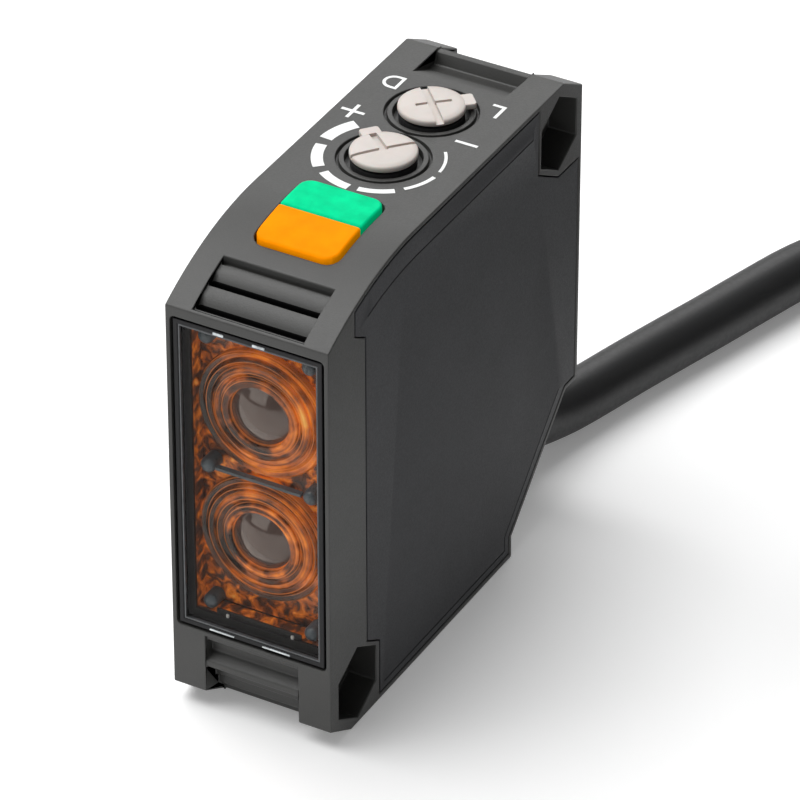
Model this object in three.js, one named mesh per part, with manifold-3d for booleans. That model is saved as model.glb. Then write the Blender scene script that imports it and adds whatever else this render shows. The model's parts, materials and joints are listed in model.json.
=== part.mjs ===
// Compact photoelectric sensor with a built-in amplifier, a relay output and a pre-wired cable.
//
// Millimetres. The housing stands on Z = 0 with its centre line on X = 0, Y = 0.
// The optical window faces -Y, the adjusters are on top (+Z), and the side cover is on +X.
// Side outlines are written as [depth behind the front face, height], front views as [x, height]
// and top views as [x, depth behind the front face].

import * as THREE from 'three';
import { mergeVertices } from 'three/addons/utils/BufferGeometryUtils.js';
import Module from 'manifold-3d';

// ---------------------------------------------------------------- driving dimensions

const WIDTH = 17.4;
const DEPTH = 50;
const HEIGHT = 50;
const HALF = WIDTH / 2;
const WALL = 1.6; // top, base and rear walls
const SIDE_WALL = 1.2;
const GAP = 0.3; // clearance between neighbouring pieces

const CROWN = { radius: 34, start: 16.8 }; // the top bends down to the front edge on this arc
const CHAMFER = { foot: 36.4, low: 2.5, end: 47.6, high: 13.5 }; // rear-bottom cut for the cable
const CORNER = { along: 3.9, up: 2.15 }; // small cuts at the two fixing corners

const FIXING = { inset: 5, shift: 0.2, bore: 2.25, nutAcrossFlats: 7.2, nutDepth: 3.1 }; // two M4 holes
const RECESS_HALF = 5.1; // half width of the ribbed recesses between the feet

const COVER = { floor: 7.4, thickness: 1.0 };
const WINDOW = { half: 8.2, low: 9.2, high: 44.5, depth: 1.6, ledge: 0.9, corner: 0.5 };
const LENS = { radius: 6.9, halfWidth: 6.7, pitch: 14.3, low: 20.2, back: 3.2 };
const POST = { radius: 0.8, x: 5.55, heights: [11.5, 27.3, 41.9], front: 1.55 };
const CARRIER = { half: 7.0, low: 10.9, high: 43.2, front: 3.5, back: 4.3 };
const CHASSIS = { half: 6.9, low: 11.2, high: 43.0, front: 4.6, back: 14 };
const FRONT_BOARD = { front: 14.3, back: 15.3 };
const MAIN_BOARD = { left: -6.9, right: -5.7 };
const TOP_BOARD = { low: 43.3, high: 44.1 };

const INDICATOR = { half: 4.6, front: 8.5, split: 13.9, rear: 19, corner: 1.4, rise: 0.45 };
const ADJUSTER = { radius: 3.3, low: 50.25, high: 51, tabReach: 4.25, tabWidth: 2.0 };
const WELL = { grooveOut: 4.6, grooveIn: 4.3, grooveFloor: 49.5, radius: 3.75, floor: 49.2, bore: 2.1 };
const SENSITIVITY = { depth: 26, restAngle: 140 }; // degrees from +X, where the tab points at rest
const MODE = { depth: 35.4, restAngle: 43 };

const CABLE = { radius: 3, exitDepth: 43.8, exitHeight: 9.77 };
const COIL = { x: 73, y: 49, inside: 30.8, outside: 43.1, low: 0.7, high: 24.9 };
const LEAD = { radius: 0.75, ring: 1.6, height: 3.6, floor: 0.83 };

// ---------------------------------------------------------------- materials

function plastic(color, roughness = 0.55) {
  return new THREE.MeshStandardMaterial({ color, roughness, metalness: 0 });
}

function metal(color, roughness = 0.35) {
  return new THREE.MeshStandardMaterial({ color, roughness, metalness: 1 });
}

const CASE_GREY = plastic(0x55554f);
const COVER_GREY = plastic(0x3b3c3f);
const KNOB_WHITE = plastic(0xeee8e2, 0.45);
const GREEN_LENS = plastic(0x00d08a, 0.3);
const ORANGE_LENS = plastic(0xff9600, 0.3);
const AMBER = plastic(0xd9660a, 0.2);
const SLATE = plastic(0x46555f, 0.5);
const BLACK = plastic(0x18181a, 0.6);
const RUBBER = plastic(0x1c1c1e, 0.8);
const BOARD = plastic(0x1f5f3a, 0.5);
const LED_CLEAR = plastic(0xd94a3a, 0.15);
const RELAY_CASE = plastic(0x2c3f66, 0.4);
const CERAMIC = plastic(0x2f6fb0, 0.5);
const FERRITE = plastic(0x2d2b2a, 0.7);
const COPPER = metal(0xb87333);
const TIN = metal(0xb9bcc0);
const SLEEVE = plastic(0x1b2a4a, 0.35);
const WIRES = {
  brown: plastic(0x6b3a1c, 0.5),
  blue: plastic(0x1f4fa3, 0.5),
  black: plastic(0x151515, 0.5),
  white: plastic(0xe8e6e0, 0.5),
  gray: plastic(0x8a8c90, 0.5),
};

// ---------------------------------------------------------------- solids

const wasm = await Module();
wasm.setup();

const FRAMES = {
  x: new THREE.Matrix4().makeBasis(
    new THREE.Vector3(0, 1, 0), new THREE.Vector3(0, 0, 1), new THREE.Vector3(1, 0, 0)),
  y: new THREE.Matrix4().makeBasis(
    new THREE.Vector3(1, 0, 0), new THREE.Vector3(0, 0, 1), new THREE.Vector3(0, -1, 0)),
  z: new THREE.Matrix4(),
};

// A closed geometry as a manifold solid, with its faces turned outwards.
function solid(geometry) {
  geometry.deleteAttribute('normal');
  geometry.deleteAttribute('uv');
  const merged = mergeVertices(geometry, 1e-4);
  const points = merged.attributes.position;
  const corners = [0, 1, 2].map(() => new THREE.Vector3());
  const faces = [];
  let volume = 0;
  for (let i = 0; i < merged.index.count; i += 3) {
    const [a, b, c] = [0, 1, 2].map((k) => merged.index.getX(i + k));
    if (a === b || b === c || c === a) continue;
    faces.push(a, b, c);
    [a, b, c].forEach((v, k) => corners[k].fromBufferAttribute(points, v));
    volume += corners[0].dot(corners[1].cross(corners[2]));
  }
  if (volume < 0) faces.reverse();
  return new wasm.Manifold(new wasm.Mesh({
    numProp: 3,
    vertProperties: points.array,
    triVerts: new Uint32Array(faces),
  }));
}

// A straight slab: an outline carried along one axis between two coordinates.
function slab(axis, outline, from, to) {
  const shape = outline instanceof THREE.Shape ? outline : shapeOf(outline);
  const geometry = new THREE.ExtrudeGeometry(shape, {
    depth: to - from, bevelEnabled: false, curveSegments: 2,
  });
  geometry.translate(0, 0, axis === 'y' ? -to : from);
  geometry.applyMatrix4(FRAMES[axis]);
  return solid(geometry);
}

// A turned solid on the line through the origin along an axis. Its profile is [radius, coordinate].
function turned(axis, profile, segments = 32) {
  const geometry = new THREE.LatheGeometry(profile.map(([r, h]) => new THREE.Vector2(r, h)), segments);
  if (axis === 'x') geometry.rotateZ(-Math.PI / 2);
  if (axis === 'z') geometry.rotateX(Math.PI / 2);
  return solid(geometry);
}

function cylinder(axis, radius, from, to, segments = 32) {
  return turned(axis, [[0, from], [radius, from], [radius, to], [0, to]], segments);
}

function ring(axis, inside, outside, from, to, segments = 32) {
  const profile = [[inside, from], [outside, from], [outside, to], [inside, to], [inside, from]];
  return turned(axis, profile, segments);
}

function block(x, y, z) {
  return slab('z', [[x[0], y[0]], [x[1], y[0]], [x[1], y[1]], [x[0], y[1]]], z[0], z[1]);
}

// A round tube with its centre on a smooth curve through the points.
function tube(points, radius, sides, steps) {
  const path = new THREE.CatmullRomCurve3(points.map((p) => new THREE.Vector3(...p)), false, 'centripetal');
  const section = new THREE.Shape();
  for (let i = 0; i < sides; i += 1) {
    const angle = (2 * Math.PI * i) / sides;
    const [x, y] = [radius * Math.cos(angle), radius * Math.sin(angle)];
    if (i) section.lineTo(x, y);
    else section.moveTo(x, y);
  }
  return solid(new THREE.ExtrudeGeometry(section, { steps, extrudePath: path, bevelEnabled: false }));
}

function cut(base, ...tools) {
  return tools.reduce((left, tool) => left.subtract(tool), base);
}

function piece(name, body, material) {
  const { vertProperties, triVerts } = body.getMesh();
  const geometry = new THREE.BufferGeometry();
  geometry.setAttribute('position', new THREE.BufferAttribute(vertProperties, 3));
  geometry.setIndex(new THREE.BufferAttribute(triVerts, 1));
  geometry.computeVertexNormals();
  const mesh = new THREE.Mesh(geometry, material);
  mesh.name = name;
  return mesh;
}

function grouped(...meshes) {
  const group = new THREE.Group();
  group.add(...meshes.flat());
  return group;
}

// ---------------------------------------------------------------- outlines

function shapeOf(points) {
  return new THREE.Shape(points.map(([a, b]) => new THREE.Vector2(a, b)));
}

// The Y of a place given by its depth behind the front face.
function yAt(depth) {
  return depth - DEPTH / 2;
}

// A side outline of [depth, height] points, as [y, z].
function side(points) {
  return points.map(([depth, z]) => [yAt(depth), z]);
}

// The height of the top surface, raised or lowered by an offset.
function topAt(depth, offset = 0) {
  const radius = CROWN.radius + offset;
  if (depth >= CROWN.start) return HEIGHT + offset;
  return HEIGHT - CROWN.radius + Math.sqrt(radius ** 2 - (CROWN.start - depth) ** 2);
}

// Points along the bent part of the top, from the flat forward to a depth.
function crownArc(offset, toDepth, count = 12) {
  const end = Math.asin((CROWN.start - toDepth) / (CROWN.radius + offset));
  return Array.from({ length: count + 1 }, (_, i) => {
    const angle = (end * i) / count;
    const radius = CROWN.radius + offset;
    return [CROWN.start - radius * Math.sin(angle), HEIGHT - CROWN.radius + radius * Math.cos(angle)];
  });
}

// A closed outline moved inwards by a distance, corner by corner.
function inset(points, distance) {
  const count = points.length;
  const turn = points.reduce((sum, [x, y], i) => {
    const [u, v] = points[(i + 1) % count];
    return sum + x * v - u * y;
  }, 0);
  const sign = Math.sign(turn);
  return points.map((here, i) => {
    const [a, b] = [points[(i + count - 1) % count], points[(i + 1) % count]];
    const back = new THREE.Vector2(here[0] - a[0], here[1] - a[1]).normalize();
    const ahead = new THREE.Vector2(b[0] - here[0], b[1] - here[1]).normalize();
    const miter = new THREE.Vector2(-back.y - ahead.y, back.x + ahead.x).multiplyScalar(sign).normalize();
    const reach = distance / Math.max(0.3, miter.x * -back.y * sign + miter.y * back.x * sign);
    return [here[0] + miter.x * reach, here[1] + miter.y * reach];
  });
}

function roundedRectangle(x0, x1, y0, y1, radius) {
  const shape = new THREE.Shape();
  shape.moveTo(x0 + radius, y0);
  shape.lineTo(x1 - radius, y0);
  shape.absarc(x1 - radius, y0 + radius, radius, -Math.PI / 2, 0);
  shape.lineTo(x1, y1 - radius);
  shape.absarc(x1 - radius, y1 - radius, radius, 0, Math.PI / 2);
  shape.lineTo(x0 + radius, y1);
  shape.absarc(x0 + radius, y1 - radius, radius, Math.PI / 2, Math.PI);
  shape.lineTo(x0, y0 + radius);
  shape.absarc(x0 + radius, y0 + radius, radius, Math.PI, 1.5 * Math.PI);
  return shape;
}

// Everything below the top surface, raised or lowered by an offset.
function underTop(offset) {
  const outline = [[-1, 20], [DEPTH + 1, 20], [DEPTH + 1, HEIGHT + offset], ...crownArc(offset, -1)];
  return slab('x', side(outline), -HALF - 1, HALF + 1);
}

const HOUSING_OUTLINE = [
  [0, CORNER.up],
  [CORNER.along, 0],
  [CHAMFER.foot, 0],
  [CHAMFER.foot, CHAMFER.low],
  [CHAMFER.end, CHAMFER.high],
  [DEPTH, CHAMFER.high],
  [DEPTH, HEIGHT - CORNER.up],
  [DEPTH - CORNER.along, HEIGHT],
  ...crownArc(0, 0, 16),
];

// The room inside: it leaves solid corners round the two fixing holes.
const CAVITY_OUTLINE = [
  [2.4, 10.4],
  [10.8, 10.4],
  [10.8, WALL],
  [34.8, WALL],
  [34.8, 3.4],
  [46.1, 14.8],
  [DEPTH - 1.4, 14.8],
  [DEPTH - 1.4, 38.6],
  [39.9, 38.6],
  [39.9, HEIGHT - WALL],
  ...crownArc(-WALL, 7.8, 4),
  [7.8, 43.9],
  [2.4, 43.9],
];

// The side cover's edge, as the recess that it sits in.
const COVER_OUTLINE = [
  [5.0, 44.5],
  [6.95, 43.4],
  [7.1, 8.4],
  [9.5, 7.0],
  [9.5, 0.65],
  [35.85, 0.65],
  [35.85, 2.75],
  [47.35, 14.05],
  [49.4, 14.05],
  [49.4, 39.8],
  [45.2, 39.9],
  [41.1, 42.3],
  [41.1, HEIGHT - 0.5],
  ...crownArc(-0.5, 5.0),
];

// The ribbed recess between the front feet. Turned about the housing's centre it makes the rear-top one.
const RIB_OUTLINE = [
  [-1, 8.7],
  [0.35, 8.7],
  [0.35, 8.1],
  [1.3, 7.9],
  [1.3, 6.4],
  [0.15, 5.75],
  [0.15, 5.05],
  [1.9, 4.4],
  [1.9, 3.1],
  [2.4, 2.8],
  [2.4, 1.8],
  [3.4, 0.9],
  [3.6, 0.2],
  [4.3, 0.2],
  [4.8, 1.4],
  [5.8, 1.4],
  [9.0, 0],
  [9.0, -1],
  [-1, -1],
];

// Louvre: three bars across a shallow recess in the slope, with two deeper slots between them.
const LOUVRE = { half: 5.9, front: 0.4, rear: 6.2, bar: 0.45, bevel: 0.95 };
const LOUVRE_BARS = [[5.7, 4.8, 4.1], [3.3, 2.3, 1.55]]; // rear edge, start of bevel, front edge
const LOUVRE_SLOT_FLOORS = [45.6, 45.0];

function louvreOutline() {
  const points = [[LOUVRE.rear, HEIGHT + 2], [LOUVRE.rear, topAt(LOUVRE.rear) - LOUVRE.bevel]];
  points.push([LOUVRE_BARS[0][0], topAt(LOUVRE_BARS[0][0]) - LOUVRE.bevel]);
  LOUVRE_BARS.forEach(([rear, middle, front], i) => {
    const next = i + 1 < LOUVRE_BARS.length ? LOUVRE_BARS[i + 1][0] : 0.88;
    points.push([rear, topAt(rear) - LOUVRE.bar]);
    points.push([middle, topAt(middle) - LOUVRE.bar]);
    points.push([front, topAt(front) - LOUVRE.bevel]);
    points.push([front, LOUVRE_SLOT_FLOORS[i]]);
    points.push([next, LOUVRE_SLOT_FLOORS[i]]);
    if (i + 1 === LOUVRE_BARS.length) points.push([next, topAt(next) - LOUVRE.bar]);
  });
  points.push([LOUVRE.front, topAt(LOUVRE.front) - LOUVRE.bar], [LOUVRE.front, HEIGHT + 2]);
  return points;
}

function hexagon(depth, z) {
  const reach = FIXING.nutAcrossFlats / Math.sqrt(3);
  return Array.from({ length: 6 }, (_, i) => {
    const angle = (Math.PI * (2 * i + 1)) / 6;
    return [yAt(depth) + reach * Math.cos(angle), z + reach * Math.sin(angle)];
  });
}

const FIXING_CENTRES = [
  [FIXING.inset + FIXING.shift, FIXING.inset - FIXING.shift],
  [DEPTH - FIXING.inset + FIXING.shift, HEIGHT - FIXING.inset - FIXING.shift],
];

// ---------------------------------------------------------------- housing

function fixingCuts([depth, z]) {
  const floor = HALF - FIXING.nutDepth;
  const bore = cylinder('x', FIXING.bore, -HALF, HALF, 24).translate([0, yAt(depth), z]);
  return [
    bore,
    slab('x', hexagon(depth, z), floor, HALF + 1),
    slab('x', hexagon(depth, z), -HALF - 1, -floor),
  ];
}

function wellCuts(depth) {
  return [
    ring('z', WELL.grooveIn, WELL.grooveOut, WELL.grooveFloor, HEIGHT + 1, 48),
    cylinder('z', WELL.radius, WELL.floor, HEIGHT + 1, 40),
    cylinder('z', WELL.bore, HEIGHT - 2 * WALL, HEIGHT, 32),
  ].map((tool) => tool.translate([0, yAt(depth), 0]));
}

function indicatorCuts() {
  const { half, front, rear, corner } = INDICATOR;
  const seat = slab('z', roundedRectangle(-half, half, yAt(front), yAt(rear), corner), HEIGHT - 5, HEIGHT + 2);
  const ledge = 0.8;
  const opening = roundedRectangle(
    -half + ledge, half - ledge, yAt(front + ledge), yAt(rear - ledge), corner - ledge / 2);
  return [seat.subtract(underTop(-1.0)), slab('z', opening, HEIGHT - 5, HEIGHT + 2)];
}

// Turns a piece made on the Y axis to lie along the cable's way out, square to the rear chamfer.
function alongExit(body) {
  return body.rotate([-45, 0, 0]).translate([0, yAt(CABLE.exitDepth), CABLE.exitHeight]);
}

function mainCase() {
  const { half, low, high, depth, ledge, corner } = WINDOW;
  const windowSeat = roundedRectangle(-half, half, low, high, corner);
  const windowOpening = roundedRectangle(-half + ledge, half - ledge, low + 1.1, high - 1.1, corner);
  const ribs = slab('x', side(RIB_OUTLINE), -RECESS_HALF, RECESS_HALF);
  const mirroredRibs = side(RIB_OUTLINE.map(([d, z]) => [DEPTH - d, HEIGHT - z]));
  return cut(
    slab('x', side(HOUSING_OUTLINE), -HALF, HALF),
    slab('x', side(CAVITY_OUTLINE), -HALF + SIDE_WALL, COVER.floor),
    slab('x', side(COVER_OUTLINE), COVER.floor - 0.01, HALF + 1),
    slab('y', windowSeat, yAt(-1), yAt(depth)),
    slab('y', windowOpening, yAt(depth - 1), yAt(3)),
    slab('x', side(louvreOutline()), -LOUVRE.half, LOUVRE.half),
    ribs,
    slab('x', mirroredRibs, -RECESS_HALF, RECESS_HALF),
    ...FIXING_CENTRES.flatMap(fixingCuts),
    ...wellCuts(SENSITIVITY.depth),
    ...wellCuts(MODE.depth),
    ...indicatorCuts(),
    alongExit(cylinder('y', 4.2, -5, 5)),
  );
}

function sideCover() {
  return slab('x', side(inset(COVER_OUTLINE, 0.25)), HALF - COVER.thickness, HALF);
}

const housing = grouped(
  piece('main_case', mainCase(), CASE_GREY),
  piece('side_cover', sideCover(), COVER_GREY),
);

// ---------------------------------------------------------------- optics

// The window is a plate with a low rim round its clear field.
function frontWindow() {
  const { half, low, high, corner } = WINDOW;
  const plate = roundedRectangle(-half + 0.25, half - 0.25, low + 0.25, high - 0.25, corner);
  const field = roundedRectangle(-half + 0.9, half - 0.9, low + 0.9, high - 0.9, corner);
  return slab('y', plate, yAt(0.1), yAt(1.1)).subtract(slab('y', field, yAt(-1), yAt(0.3)));
}

function windowSeal() {
  const { half, low, high } = WINDOW;
  const outer = roundedRectangle(-half + 0.2, half - 0.2, low + 0.2, high - 0.2, 0.6);
  const inner = roundedRectangle(-half + 0.9, half - 0.9, low + 0.9, high - 0.9, 0.6);
  return slab('y', outer, yAt(1.15), yAt(1.55)).subtract(slab('y', inner, yAt(1), yAt(2)));
}

// A stepped lens: a dome in the middle and shallower rings round it, on a flat-backed disc.
function steppedLens() {
  const { radius, halfWidth, back } = LENS;
  const profile = [
    [0, back], [radius, back], [radius, 2.75], [6.2, 2.65], [6.2, 2.5], [5.3, 2.4], [5.3, 2.2],
    [4.2, 2.1], [4.2, 1.95], [3.1, 1.95], [2.2, 1.8], [1.1, 1.72], [0, 1.7],
  ];
  const disc = turned('y', profile, 40);
  return disc.intersect(block([-halfWidth, halfWidth], [0, 5], [-radius - 1, radius + 1]));
}

function lensCarrier() {
  const { half, low, high, front, back } = CARRIER;
  const plate = block([-half, half], [yAt(front), yAt(back)], [low, high]);
  const windows = [0, 1].map((i) => cylinder('y', 5.2, -2, 2).translate(
    [0, yAt(front), LENS.low + i * LENS.pitch]));
  return cut(plate, ...windows);
}

// A black block with two tapered tunnels that keep the sent and the received light apart.
function opticalChassis() {
  const { half, low, high, front, back } = CHASSIS;
  const body = block([-half, half], [yAt(front), yAt(back)], [low, high]);
  const tunnel = turned('y', [[0, -0.1], [5.4, -0.1], [2.6, 8], [2.6, 9.5], [0, 9.5]], 24);
  const tunnels = [0, 1].map((i) => tunnel.translate([0, yAt(front), LENS.low + i * LENS.pitch]));
  return cut(body, ...tunnels);
}

function receiverShield() {
  const y = yAt(FRONT_BOARD.back) + 0.05;
  const z = LENS.low + LENS.pitch;
  const shell = block([-4, 4], [y, y + 2.4], [z - 4, z + 4]);
  return shell.subtract(block([-3.7, 3.7], [y - 1, y + 2.1], [z - 3.7, z + 3.7]));
}

function boardBetween(front, back) {
  return block([-CHASSIS.half, CHASSIS.half], [yAt(front), yAt(back)], [CHASSIS.low, CHASSIS.high - 0.1]);
}

const lenses = ['lower_lens', 'upper_lens'].map((name, i) => {
  const mesh = piece(name, steppedLens(), AMBER);
  mesh.position.set(0, yAt(0), LENS.low + i * LENS.pitch);
  return mesh;
});

const posts = POST.heights.flatMap((z, row) => [-1, 1].map((sign, column) => {
  const body = turned('y', [
    [0, 3.4], [POST.radius, 3.4], [POST.radius, 1.95], [0.55, POST.front + 0.05], [0, POST.front],
  ], 16);
  const mesh = piece(`lens_post_${2 * row + column + 1}`, body, SLATE);
  mesh.position.set(sign * POST.x, yAt(0), z);
  return mesh;
}));

const middle = LENS.low + LENS.pitch / 2;
const led = turned('y', [[0, 9.6], [1.1, 9.8], [1.5, 10.6], [1.5, 13.9], [0, 13.9]], 20);
const optics = grouped(
  piece('front_window', frontWindow(), plastic(0x33302e, 0.1)),
  piece('window_seal', windowSeal(), RUBBER),
  lenses,
  posts,
  piece('lens_divider', block([-4.6, 4.6], [yAt(1.7), yAt(2.3)], [middle - 0.15, middle + 0.15]), SLATE),
  piece('lens_carrier', lensCarrier(), AMBER),
  piece('optical_chassis', opticalChassis(), BLACK),
  piece('emitter_led', led.translate([0, yAt(0), LENS.low]), LED_CLEAR),
  piece('photodiode', block(
    [-1.6, 1.6], [yAt(12.6), yAt(14)], [LENS.low + LENS.pitch - 1.6, LENS.low + LENS.pitch + 1.6]), BLACK),
  piece('front_board', boardBetween(FRONT_BOARD.front, FRONT_BOARD.back), BOARD),
  piece('receiver_shield', receiverShield(), TIN),
  piece('signal_ic', block([-2.5, 2.5], [yAt(15.4), yAt(16.8)], [19, 24]), BLACK),
);

// ---------------------------------------------------------------- electronics

const COMPONENT_X = MAIN_BOARD.right + 0.1; // parts stand on the main board towards the cover

const MAIN_BOARD_OUTLINE = [
  [16.3, 3], [33.2, 3], [33.9, 4.7], [45.4, 16.3], [47.6, 16.3], [47.6, 37.8], [38.6, 37.8],
  [38.6, 42.8], [16.3, 42.8],
];

function transformerCore() {
  const { x, y, z } = { x: [COMPONENT_X, 0], y: [yAt(18), yAt(29)], z: [4.5, 15.5] };
  const outer = block(x, y, z);
  return outer.subtract(block([x[0] - 1, x[1] + 1], [y[0] + 2, y[1] - 2], [z[0] + 2, z[1] - 2]));
}

const capacitor = cylinder('z', 3.9, 22.8, 35.5, 28).translate([0, yAt(40.4), 0]);

const electronics = grouped(
  piece('main_board', slab('x', side(MAIN_BOARD_OUTLINE), MAIN_BOARD.left, MAIN_BOARD.right), BOARD),
  piece('output_relay', slab('x', roundedRectangle(yAt(19), yAt(35), 25.5, 38.5, 0.6), COMPONENT_X, 4.6),
    RELAY_CASE),
  piece('transformer_core', transformerCore(), FERRITE),
  piece('transformer_winding', slab('x', roundedRectangle(yAt(20.3), yAt(26.7), 6.8, 13.2, 1.5),
    COMPONENT_X, 1.5), COPPER),
  piece('electrolytic_capacitor', capacitor, SLEEVE),
  piece('bridge_rectifier', block([COMPONENT_X, -3], [yAt(19), yAt(23.8)], [17.5, 22.3]), BLACK),
  piece('varistor', cylinder('x', 3, COMPONENT_X, -2.6, 20).translate([0, yAt(32.8), 8.4]), CERAMIC),
  piece('front_link_header', block([COMPONENT_X, -3.6], [yAt(15.4), yAt(17.4)], [13, 25]), BLACK),
  piece('top_link_header', block([COMPONENT_X, -3.6], [yAt(20), yAt(30)], [40, 43.2]), BLACK),
);

// ---------------------------------------------------------------- adjusters and indicators

// A slotted disc with a pointer tab, on a neck that reaches down to the part it turns.
// It is made on its own axis with the tab towards +X.
function knob() {
  const { radius, low, high, tabReach, tabWidth } = ADJUSTER;
  const disc = turned('z', [
    [0, low], [radius - 0.1, low], [radius, low + 0.15], [radius, high - 0.15], [radius - 0.15, high], [0, high],
  ], 40);
  const tab = block([radius - 0.6, tabReach], [-tabWidth / 2, tabWidth / 2], [low, high - 0.05]);
  const neck = cylinder('z', 1.75, 46.6, low + 0.1, 24);
  const blade = block([-1.5, 1.5], [-0.3, 0.3], [45.7, 46.7]);
  const slotFloor = high - 0.35;
  const wideSlot = block([-0.3, 0.3], [-radius - 1, radius + 1], [slotFloor, high + 1]);
  const thinSlot = block([-2.3, 2.3], [-0.16, 0.16], [slotFloor, high + 1]);
  return cut(disc.add(tab).add(neck).add(blade), wideSlot, thinSlot);
}

function rotor() {
  const body = cylinder('z', 2.1, 44.75, 46.5, 24);
  return body.subtract(block([-1.8, 1.8], [-0.6, 0.6], [45.5, 47]));
}

function rotorHousing() {
  const body = slab('z', roundedRectangle(-3.25, 3.25, -3.25, 3.25, 0.5), TOP_BOARD.high + 0.05, 46.55);
  return body.subtract(cylinder('z', 2.4, 44.5, 47, 28));
}

function sealRing() {
  return ring('z', 2.1, 3.2, WELL.floor + 0.05, WELL.floor + 0.75, 28);
}

// One adjuster: its pieces share an axis, and the turning ones point at the rest angle.
function adjuster(place, names, rotorColour) {
  const angle = THREE.MathUtils.degToRad(place.restAngle);
  const turning = [piece(names.knob, knob(), KNOB_WHITE), piece(names.rotor, rotor(), rotorColour)];
  turning.forEach((mesh) => {
    mesh.rotation.z = angle;
  });
  const group = grouped(
    turning,
    piece(names.seal, sealRing(), RUBBER),
    piece(names.housing, rotorHousing(), BLACK),
  );
  group.position.y = yAt(place.depth);
  return group;
}

// Half of the indicator window: a flange in the seat, following the bent top, a little proud of it.
function indicatorLens(front, rear) {
  const { half, front: first, rear: last, corner, rise } = INDICATOR;
  const clearance = 0.2;
  const whole = slab('z', roundedRectangle(-half + clearance, half - clearance, yAt(first + clearance),
    yAt(last - clearance), corner - clearance / 2), HEIGHT - 4, HEIGHT + 2);
  const part = whole.intersect(block([-half, half], [yAt(front), yAt(rear)], [HEIGHT - 5, HEIGHT + 3]));
  return part.intersect(underTop(rise)).subtract(underTop(-0.8));
}

function indicatorLed(depth) {
  return block([-1.6, 1.6], [yAt(depth) - 0.8, yAt(depth) + 0.8], [TOP_BOARD.high + 0.05, TOP_BOARD.high + 1.3]);
}

const controls = grouped(
  adjuster(SENSITIVITY, {
    knob: 'sensitivity_knob', rotor: 'sensitivity_rotor', seal: 'sensitivity_seal', housing: 'sensitivity_pot',
  }, KNOB_WHITE),
  adjuster(MODE, {
    knob: 'mode_knob', rotor: 'mode_rotor', seal: 'mode_seal', housing: 'mode_switch',
  }, KNOB_WHITE),
  piece('indicator_green', indicatorLens(INDICATOR.split + 0.02, INDICATOR.rear), GREEN_LENS),
  piece('indicator_orange', indicatorLens(INDICATOR.front, INDICATOR.split - 0.02), ORANGE_LENS),
  piece('green_led', indicatorLed(16.6), plastic(0xb8f0d0, 0.2)),
  piece('orange_led', indicatorLed(11.6), plastic(0xffdca0, 0.2)),
  piece('adjuster_board', block([-6.6, 6.6], [yAt(8.6), yAt(39.4)], [TOP_BOARD.low, TOP_BOARD.high]), BOARD),
);

// ---------------------------------------------------------------- cable entry and inner wires

function cableGland() {
  const profile = [
    [3.3, -3.5], [4.9, -3.5], [4.9, -2.3], [3.9, -2.3], [3.9, 0.3], [4.7, 0.3], [4.5, 1.2], [3.3, 1.2], [3.3, -3.5],
  ];
  return alongExit(turned('y', profile, 32));
}

const innerEnd = { y: 12.6, z: 16 }; // where the sheath ends inside the housing
const wireColours = Object.keys(WIRES);

// The five conductors fan out from the end of the sheath to a row of pads on the main board.
function innerWire(index) {
  const angle = (2 * Math.PI * index) / wireColours.length;
  const place = [2, 0, 1, 3, 4][index]; // along the row of pads, from the rear
  const offset = 1.7 * Math.sin(angle) * Math.SQRT1_2;
  const [x, y, z] = [1.7 * Math.cos(angle) - 0.2, innerEnd.y + offset, innerEnd.z + offset];
  const padY = 9.6 - 1.5 * place;
  return tube([
    [x, y - 0.4, z + 0.4],
    [x, y - 1.6, z + 1.6],
    [(x - 4.3) / 2, (y - 2.6 + padY) / 2, 20.2 - 0.5 * place],
    [-4.3, padY, 21.4],
    [MAIN_BOARD.right + 0.25, padY, 22.2],
  ], 0.42, 6, 8);
}

const entry = grouped(
  piece('cable_gland', cableGland(), RUBBER),
  piece('cable_clamp', alongExit(ring('y', 3.3, 4.5, -6.2, -3.8, 24)), BLACK),
  wireColours.map((colour, i) => piece(`inner_wire_${colour}`, innerWire(i), WIRES[colour])),
);

// ---------------------------------------------------------------- free cable, coil and leads

// From inside the housing, down the bend to the surface it stands on, back, and round to the coil's side.
const CABLE_ROUTE = [
  [-0.2, 12.6, 16.0],
  [-0.15, 15.7, 12.9],
  [0, 18.8, 9.8],
  [0.4, 21.9, 7.15],
  [1.0, 25.3, 5.15],
  [1.8, 29.1, 3.8],
  [2.65, 32.7, 3.15],
  [3.6, 36.2, 3.0],
  [5.5, 43.2, 3.0],
  [7.6, 50.4, 3.0],
  [8.8, 54.4, 3.0],
  [11.0, 62.0, 3.05],
  ...[72, 55, 38, 21, 3].map((heading) => turnPoint(heading)),
  [47.5, 87.9, 3.3],
];

// A point on the bend that brings the cable round to the coil, where it runs at this heading from +X.
function turnPoint(heading) {
  const angle = THREE.MathUtils.degToRad(heading);
  return [39.6 - 28 * Math.sin(angle), 59.5 + 28 * Math.cos(angle), 3.1];
}

// A point inside the coil's ring, at an angle from +X and a distance from its centre.
function inCoil(angleDegrees, radius, z) {
  const angle = THREE.MathUtils.degToRad(angleDegrees);
  return [COIL.x + radius * Math.cos(angle), COIL.y + radius * Math.sin(angle), z];
}

// The sheath's last stretch leaves the inner turns and ends inside the ring.
const TAIL_ROUTE = [
  inCoil(228, 27.2, 3.6),
  inCoil(213, 25.7, 3.6),
  inCoil(198, 24.8, 3.6),
  inCoil(184, 24.5, 3.6),
];

// A strap round the coil's bundle of turns.
function coilTie(angleDegrees) {
  const [inside, outside] = [COIL.inside - GAP, COIL.outside + GAP];
  const shape = roundedRectangle(inside - 0.6, outside + 0.6, 0, COIL.high + GAP + 0.6, 0.5);
  shape.holes.push(roundedRectangle(inside, outside, COIL.low - 0.2, COIL.high + GAP, 0.3));
  return slab('y', shape, -1.8, 1.8).rotate([0, 0, angleDegrees]);
}

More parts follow.
